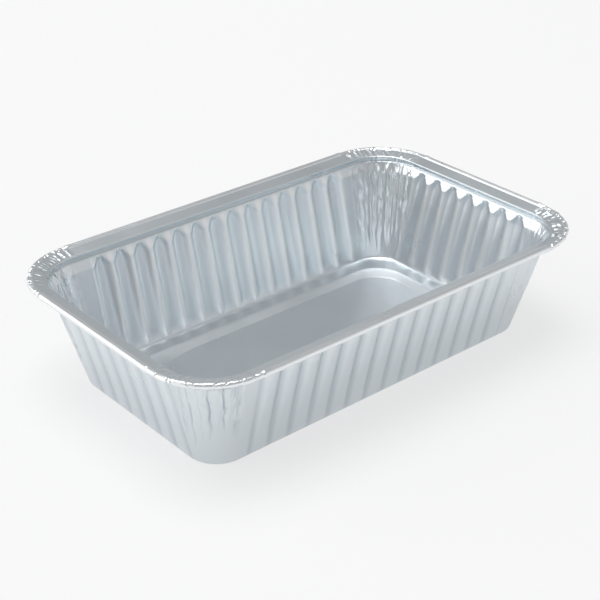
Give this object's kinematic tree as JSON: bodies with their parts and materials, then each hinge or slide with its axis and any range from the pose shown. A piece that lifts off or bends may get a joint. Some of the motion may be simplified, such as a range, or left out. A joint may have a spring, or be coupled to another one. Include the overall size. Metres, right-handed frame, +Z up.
{
  "type": "aluminium foil tray",
  "caption": "Rectangular foil food tray with sloping ribbed walls, rounded gathered corners, a flange with a rolled bead and a stiffened floor.",
  "frame": {"origin": "centre of the underside, on the surface that the tray stands on", "axes": "+X along the tray's length, +Y across its width, +Z up out of its mouth"},
  "size_m": [0.2206, 0.1382, 0.0505],
  "materials": {
    "foil": "satin rolled foil"
  },
  "bodies": {
    "root": {"foil_tray": "foil"}
  },
  "joints": []
}
